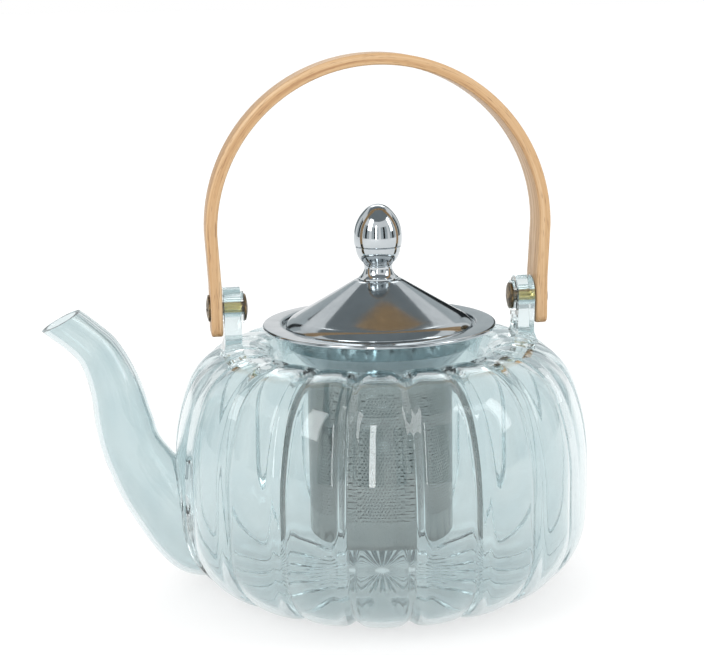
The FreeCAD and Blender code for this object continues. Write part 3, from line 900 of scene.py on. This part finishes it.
@dataclass
class BentHandle:
    """The steam-bent strip: two legs, each bored for a barrel, and a half-round arch."""

    thickness: float = 4.2
    flat_above: float = 8.0
    hole: float = 2.0
    hole_sides: int = 32
    end_round: float = 3.0
    edge_round: float = 0.7
    cuts: int = 72
    inner: float = field(init=False)
    low: float = field(init=False)
    half_width: float = field(init=False)
    arch_height: float = field(init=False)
    arch_radius: float = field(init=False)
    pivot: float = field(default_factory=pivot_height)

    def __post_init__(self) -> None:
        """Read the strip's place from the CAD."""
        low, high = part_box("handle_strip")
        self.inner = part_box("spacer_washer_far_side")[1].x / MM
        self.low, self.half_width = low.z / MM, high.y / MM
        self.arch_radius = high.x / MM - self.thickness / 2
        self.arch_height = high.z / MM - high.x / MM

    def grain(self, place: Vector) -> Place:
        """Give a point's place in the straight strip it was bent from, in metres."""
        up = place.z - self.arch_height * MM
        leg = (self.arch_height - self.low) * MM
        radius = self.arch_radius * MM
        if up > 0:
            turn = math.atan2(up, place.x)
            return leg + (math.pi - turn) * radius, place.y, math.hypot(up, place.x) - radius
        ran = leg + up if place.x < 0 else leg + math.pi * radius - up
        return ran, place.y, abs(place.x) - radius

    def stations(self) -> list[Ring]:
        """List the strip's middle line from one leg's end to the other's."""
        leg = self.inner + self.thickness / 2
        flat = self.pivot + self.flat_above
        radius, height = self.arch_radius, self.arch_height
        rows = [Ring(-leg, level, 1) for level in (self.low, self.pivot, flat)]
        for cut in range(self.cuts + 1):
            turn = math.pi * cut / self.cuts
            rows.append(Ring(-radius * math.cos(turn), height + radius * math.sin(turn), 1, turn))
        rows += [Ring(leg, level, 1, math.pi) for level in (flat, self.pivot, self.low)]
        return rows

    def build(self, wood: Finish) -> None:
        """Bend the strip, round its ends and edges, bore it, and lay the grain along it."""
        rows = self.stations()
        clear_selection()
        bpy.ops.mesh.primitive_plane_add(size=1, location=rows[0].centre)
        bpy.context.object.scale = (self.thickness * MM, 2 * self.half_width * MM, 1)
        strip = settle("bent_handle")
        bpy.ops.object.mode_set(mode="EDIT")
        bpy.ops.mesh.select_all(action="SELECT")
        draw_on(rows, bpy.ops.mesh.extrude_region_move)
        bpy.ops.mesh.select_all(action="SELECT")
        bpy.ops.mesh.normals_make_consistent(inside=False)
        bpy.ops.object.mode_set(mode="OBJECT")

        def end_corner(middle: Vector) -> bool:
            at_side = abs(abs(middle.y) - self.half_width * MM) < TOUCH * MM
            return at_side and abs(middle.z - self.low * MM) < TOUCH * MM

        edit(strip, end_corner, edges=True)
        bpy.ops.mesh.bevel(offset=self.end_round * MM, segments=5, affect="EDGES")
        bpy.ops.object.mode_set(mode="OBJECT")
        round_edges(strip, self.edge_round, 3)
        across, centre = 3 * self.arch_radius * MM, (0, 0, self.pivot * MM)
        carve(strip, "DIFFERENCE", rod("drill", self.hole_sides, self.hole * MM, across, centre))
        places = [value for vertex in strip.data.vertices for value in self.grain(vertex.co)]
        layer = strip.data.attributes.new(Axis.GRAIN.value, "FLOAT_VECTOR", "POINT")
        layer.data.foreach_set("vector", places)
        finish_piece(strip, "handle", wood, ("handle_strip",))


# ---- the infuser


@dataclass
class Infuser:
    """The rim with its flange and funnel, the perforated basket wall and the cup under it."""

    sides: int = 192
    sheet: float = 0.6
    basket_sheet: float = 0.5
    recess: float = 36.2
    ledge_drop: float = 1.3
    collar: float = 33.4
    collar_drop: float = 6.0
    lip: float = 1.1
    hole_columns: int = 138
    hole_pitch: float = 1.2
    hole_rows: Point = (30.0, 79.2)
    bridge: float = 0.36
    floor_round: float = 2.5
    # the middle of the cup's floor is raised, over a slope between two distances from the wall
    dish: float = 0.5
    dish_slope: Point = (9.0, 7.0)
    dish_round: Point = (3.0, 1.5)

    def rim(self) -> list[Point]:
        """Trace the rim's closed section."""
        low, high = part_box("infuser_rim")
        top, bottom, reach = high.z / MM, low.z / MM, high.x / MM
        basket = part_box("infuser_wall")[1].x / MM
        ledge, under = top - self.ledge_drop, self.sheet
        funnel = ledge - self.collar_drop
        marks = [
            Mark(reach, top - self.lip),
            Mark(reach, top, bend=0.75),
            Mark(self.recess, top, bend=0.35),
            Mark(self.recess, ledge, bend=0.35),
            Mark(self.collar, ledge, bend=0.5),
            Mark(self.collar, funnel, bend=1.6),
            Mark(basket - self.basket_sheet, bottom),
            Mark(basket, bottom),
            Mark(self.collar + under, funnel, bend=1.8),
            Mark(self.collar + under, ledge - under, bend=0.3),
            Mark(self.recess + under, ledge - under, bend=0.3),
            Mark(self.recess + under, top - under, bend=0.3),
            Mark(reach - under, top - under, bend=0.25),
            Mark(reach - under, top - self.lip),
        ]
        return trace(marks, step=0.25, closed=True)

    def cup(self) -> list[Point]:
        """Trace the cup's section, from the axis outside to the axis inside."""
        low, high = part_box("infuser_base")
        bottom, top, reach = low.z / MM, high.z / MM, high.x / MM
        sheet, raised = self.basket_sheet, bottom + self.dish
        high_end, low_end = (reach - inset for inset in self.dish_slope)
        high_bend, low_bend = self.dish_round
        marks = [
            Mark(0, raised),
            Mark(high_end, raised, high_bend),
            Mark(low_end, bottom, low_bend),
            Mark(reach, bottom, self.floor_round),
            Mark(reach, top),
            Mark(reach - sheet, top),
            Mark(reach - sheet, bottom + sheet, self.floor_round - sheet),
            Mark(low_end, bottom + sheet, low_bend),
            Mark(high_end, raised + sheet, high_bend),
            Mark(0, raised + sheet),
        ]
        return trace(marks, step=0.4)

    def wall(self) -> Piece:
        """Punch the basket wall: staggered small holes between two plain bands."""
        low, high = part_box("infuser_wall")
        bottom, top, reach = low.z / MM, high.z / MM, high.x / MM
        first, last = self.hole_rows
        rows = round((last - first) / self.hole_pitch)
        step = (last - first) / rows
        heights = [bottom, *(first + step * row for row in range(rows + 1)), top]
        half_cell = math.pi / self.hole_columns
        rings = [Ring(0, z, reach, twist=half_cell * index) for index, z in enumerate(heights)]
        sheet = draw_shell("basket_wall", self.hole_columns, rings)
        edit(sheet, lambda middle: first * MM < middle.z < last * MM)
        bpy.ops.mesh.inset(use_individual=True, thickness=self.bridge * MM)
        bpy.ops.mesh.delete(type="FACE")
        bpy.ops.object.mode_set(mode="OBJECT")
        apply_modifier(sheet, "SOLIDIFY", thickness=self.basket_sheet * MM, offset=-1.0)
        return sheet

    def build(self, soft: Finish, sheet: Finish) -> None:
        """Spin the rim and the cup, and punch the wall."""
        rim = turn_shell("infuser_flange", self.sides, close(self.rim()))
        finish_piece(rim, "infuser", soft, ("infuser_rim",))
        cup = turn_shell("basket_cup", self.sides, self.cup())
        finish_piece(cup, "infuser", sheet, ("infuser_base",))
        finish_piece(self.wall(), "infuser", sheet, ("infuser_wall",))


# ---- the lid


@dataclass
class Lid:
    """The spun cone with its curved edge, and the acorn knob on it."""

    sides: int = 192
    knob_sides: int = 96
    sheet: float = 0.6
    edge: float = 0.8
    edge_curve: float = 9.0
    edge_run: float = 3.8
    edge_rise: float = 3.1
    crown: float = 8.4
    # how far the inside's corners stand off the outside's, at the crown and at the edge
    crown_set: float = 0.15
    edge_set: float = 0.3
    hole: float = 1.5
    tap: float = 8.0
    # the knob from its foot to its crown, with heights above the foot
    knob_marks: tuple[Mark, ...] = (
        Mark(7.4, 0, bend=0.3),
        Mark(7.4, 0.7, arc=-4.6),
        Mark(5.2, 4.2, arc=-3.2),
        Mark(6.5, 6.9, arc=9.5),
        Mark(8.4, 12.1),
        Mark(8.1, 12.4),
        Mark(8.45, 12.6),
        Mark(8.7, 12.7, arc=14),
        Mark(8.7, 18.3, arc=14),
    )
    tip: Point = (4.85, 2.2)
    tip_curve: float = 6.45

    def shell(self) -> list[Point]:
        """Trace the cone's closed section."""
        low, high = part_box("lid_shell")
        reach, bottom, top = high.x / MM, low.z / MM, high.z / MM
        turn_in, turn_up = reach - self.edge_run, bottom + self.edge + self.edge_rise
        marks = [
            Mark(reach, bottom, bend=0.25),
            Mark(reach, bottom + self.edge, arc=self.edge_curve),
            Mark(turn_in, turn_up),
            Mark(self.crown, top, bend=3.0),
            Mark(self.hole, top),
            Mark(self.hole, top - self.sheet),
            Mark(self.crown - self.crown_set, top - self.sheet, bend=2.4),
            Mark(turn_in - self.edge_set, turn_up - self.sheet, arc=-self.edge_curve),
            Mark(reach - self.sheet, bottom + self.edge - self.crown_set),
            Mark(reach - self.sheet, bottom),
        ]
        return trace(marks, step=0.35, span=2.5, closed=True)

    def knob(self) -> list[Point]:
        """Trace the knob: flared foot, waist, bowl, seam and pointed crown."""
        low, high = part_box("knob")
        foot, top = low.z / MM, high.z / MM
        raised = [replace(mark, height=foot + mark.height) for mark in self.knob_marks]
        reach, drop = self.tip
        marks = [
            Mark(self.hole, foot),
            *raised,
            Mark(reach, top - drop, arc=self.tip_curve),
            Mark(0, top),
            Mark(0, foot + self.tap),
            Mark(self.hole, foot + self.tap),
        ]
        return trace(marks, step=0.35)

    def build(self, soft: Finish, mirror: Finish) -> None:
        """Spin the cone and the knob."""
        cone = turn_shell("lid_cone", self.sides, close(self.shell()))
        finish_piece(cone, "lid", soft, ("lid_shell",))
        knob = turn_shell("acorn_knob", self.knob_sides, close(self.knob()))
        finish_piece(knob, "lid", mirror, ("knob",))


# ---- the studio


@dataclass(frozen=True)
class Felt(Finish):
    """A matt studio surface with a faint mottle, lit from behind where it glows."""

    name: str = "felt"
    tone: str = "#B4BABC"
    glow: float = 0.0
    mottle: float = 40.0

    def shade(self, tree: Tree) -> Node:
        """One tone, with slow changes in how matt it is."""
        cloud = noise(tree, place_on(tree), per_mm(self.mottle))
        return surface(
            tree,
            base_color=colour(self.tone),
            roughness=spread(tree, cloud, (0.0, 1.0), (0.75, 0.85)),
            specular_ior_level=0.1,
            emission_color=colour("#FFFFFF"),
            emission_strength=self.glow,
        )


@dataclass(frozen=True)
class SoftBox:
    """A soft box: its place and size in metres, and its power in watts."""

    name: str
    place: Place
    size: Point
    power: float


@dataclass
class Studio:
    """A pale floor, soft boxes, cards for the steel to reflect, and the camera."""

    camera_place: Place = (-0.0906, -0.5742, 0.2183)
    heading: float = math.radians(7.97)
    pitch: float = math.radians(11.76)
    roll: float = math.radians(-0.97)
    lens: float = 81.2
    sight: float = 200.0
    floor_radius: float = 30.0
    floor_tone: str = "#A3A4A4"
    floor_glow: float = 0.66
    room_light: float = 1.0
    lit_point: Place = (0, 0, 0.08)
    boxes: tuple[SoftBox, ...] = (
        SoftBox("key_box", (-0.95, -0.75, 0.95), (0.5, 0.9), 5.5),
        SoftBox("fill_box", (1.1, -0.5, 0.8), (0.35, 0.9), 3.5),
        SoftBox("front_strip", (-0.42, -1.35, 0.5), (0.16, 1.0), 3.5),
        SoftBox("back_box", (0.2, 1.2, 1.3), (1.2, 0.6), 4),
    )
    card_radius: float = 1.6
    card_count: int = 8
    card_cuts: int = 240
    card_width: float = math.radians(9)
    gap_width: float = math.radians(11)
    card_heights: Point = (0.03, 1.0)
    card_tone: str = "#1C2022"
    wall_tone: str = "#B4BABC"
    ceiling: float = 1.7
    ceiling_radius: float = 1.5
    ceiling_tone: str = "#5E666A"
    ceiling_glow: float = 0.12
    disc_sides: int = 96
    # thick glass turns light many times before it comes out again
    bounces: int = 40

    def camera(self) -> None:
        """Set the camera at its place and angle."""
        data = bpy.data.cameras.new("camera")
        data.lens = self.lens
        data.clip_end = self.sight
        camera = bpy.data.objects.new("camera", data)
        bpy.context.scene.collection.objects.link(camera)
        turn = Matrix.Rotation(-self.heading, 4, "Z")
        tip = Matrix.Rotation(math.pi / 2 - self.pitch, 4, "X")
        lean = Matrix.Rotation(self.roll, 4, "Z")
        camera.matrix_world = Matrix.Translation(self.camera_place) @ turn @ tip @ lean
        bpy.context.scene.camera = camera

    def lamp(self, box: SoftBox) -> None:
        """Hang a soft box that faces the pot."""
        data = bpy.data.lights.new(box.name, "AREA")
        data.shape = "RECTANGLE"
        data.size, data.size_y = box.size
        data.energy = box.power
        lamp = bpy.data.objects.new(box.name, data)
        lamp.location = box.place
        aim = Vector(self.lit_point) - Vector(box.place)
        lamp.rotation_euler = aim.to_track_quat("-Z", "Y").to_euler()
        lamp.visible_camera = False
        bpy.context.scene.collection.objects.link(lamp)

    def disc(self, name: str, radius: float, height: float) -> Piece:
        """Lay a flat disc about the pot's axis."""
        clear_selection()
        bpy.ops.mesh.primitive_circle_add(
            vertices=self.disc_sides, radius=radius, fill_type="NGON", location=(0, 0, height)
        )
        disc = bpy.context.object
        disc.name = name
        return disc

    def floor(self) -> None:
        """Lay the pale floor."""
        floor = self.disc("floor", self.floor_radius, 0)
        felt = Felt("pale_floor", self.floor_tone, self.floor_glow)
        floor.data.materials.append(felt.material())

    def cards(self) -> None:
        """Stand grey and dark cards round the set, with bright gaps, and hang a grey ceiling."""
        dark, pale = self.card_width, self.gap_width
        edge, end = dark / 2, math.pi / self.card_count - pale / 2
        black = self.ring("dark_cards", self.card_tone, lambda off: abs(off) < edge)
        black.visible_transmission = False
        self.ring("grey_cards", self.wall_tone, lambda off: edge < abs(off) < end)
        ceiling = self.disc("grey_ceiling", self.ceiling_radius, self.ceiling)
        ceiling.visible_transmission = False
        self.hide_card(ceiling, self.ceiling_tone, self.ceiling_glow)

    def ring(self, name: str, tone: str, kept: Callable[[float], bool]) -> Piece:
        """Stand a ring of upright cards, kept at some angles from the nearest card's middle."""
        low, high = self.card_heights
        clear_selection()
        bpy.ops.mesh.primitive_cylinder_add(
            vertices=self.card_cuts,
            radius=self.card_radius,
            depth=high - low,
            end_fill_type="NOTHING",
            location=(0, 0, (low + high) / 2),
        )
        card = settle(name)
        spacing = 2 * math.pi / self.card_count

        def dropped(middle: Vector) -> bool:
            return not kept(math.atan2(middle.y, middle.x) % spacing - spacing / 2)

        edit(card, dropped)
        bpy.ops.mesh.delete(type="FACE")
        bpy.ops.object.mode_set(mode="OBJECT")
        self.hide_card(card, tone, 0.0)
        return card

    def hide_card(self, card: Piece, tone: str, glow: float) -> None:
        """Let a card show in reflections and through glass alone."""
        card.data.materials.append(Felt(card.name + "_felt", tone, glow).material())
        card.visible_camera = card.visible_shadow = card.visible_diffuse = False

    def sky(self) -> None:
        """Fill the room with even white light."""
        world = bpy.data.worlds.new("room")
        world.use_nodes = True
        background = world.node_tree.nodes["Background"]
        background.inputs["Color"].default_value = colour("#FFFFFF")
        background.inputs["Strength"].default_value = self.room_light
        bpy.context.scene.world = world

    def build(self) -> None:
        """Set the floor, the lights, the cards and the camera."""
        bpy.context.scene.view_settings.view_transform = "Standard"
        light = bpy.context.scene.cycles
        light.max_bounces = light.transmission_bounces = light.glossy_bounces = self.bounces
        self.floor()
        self.cards()
        self.sky()
        for box in self.boxes:
            self.lamp(box)
        self.camera()


def dress(finishes: dict[str, Finish]) -> None:
    """Give the CAD nodes that stay a finish for each start of a name."""
    for name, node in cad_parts.items():
        for start, finish in finishes.items():
            if name.startswith(start) and not node.hide_render:
                node.data.materials.clear()
                node.data.materials.append(finish.material())


def main() -> None:
    """Build the teapot's pieces, dress the CAD nodes that stay, and light them."""
    logging.basicConfig(level=logging.INFO, format="%(name)s: %(message)s")
    silicone, spun = ClearSilicone(), SpunSteel()
    soft = PolishedSteel("buffed_stainless_steel", "#B4BBBF", "#A2AAAE", gloss=(0.09, 0.17))
    sheet = PolishedSteel("drawn_stainless_sheet", "#AEAFAD", "#9A9B99", 30.0, (0.1, 0.18))
    eye = [corner.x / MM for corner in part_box("eye_bush_far_side")]
    bronze = AgedBronze(rubbed=(min(eye), max(eye)))
    GlassPot().build(BlownGlass())
    BentHandle().build(BentBeech())
    Infuser().build(soft, sheet)
    Lid().build(soft, PolishedSteel())
    dress(
        {
            "eye_bush": silicone,
            "inner_washer": silicone,
            "spacer_washer": silicone,
            "pivot": bronze,
            "lid_skirt": spun,
            "knob_washer": spun,
            "knob_screw": spun,
        }
    )
    Studio().build()


if __name__ == "__main__":
    main()
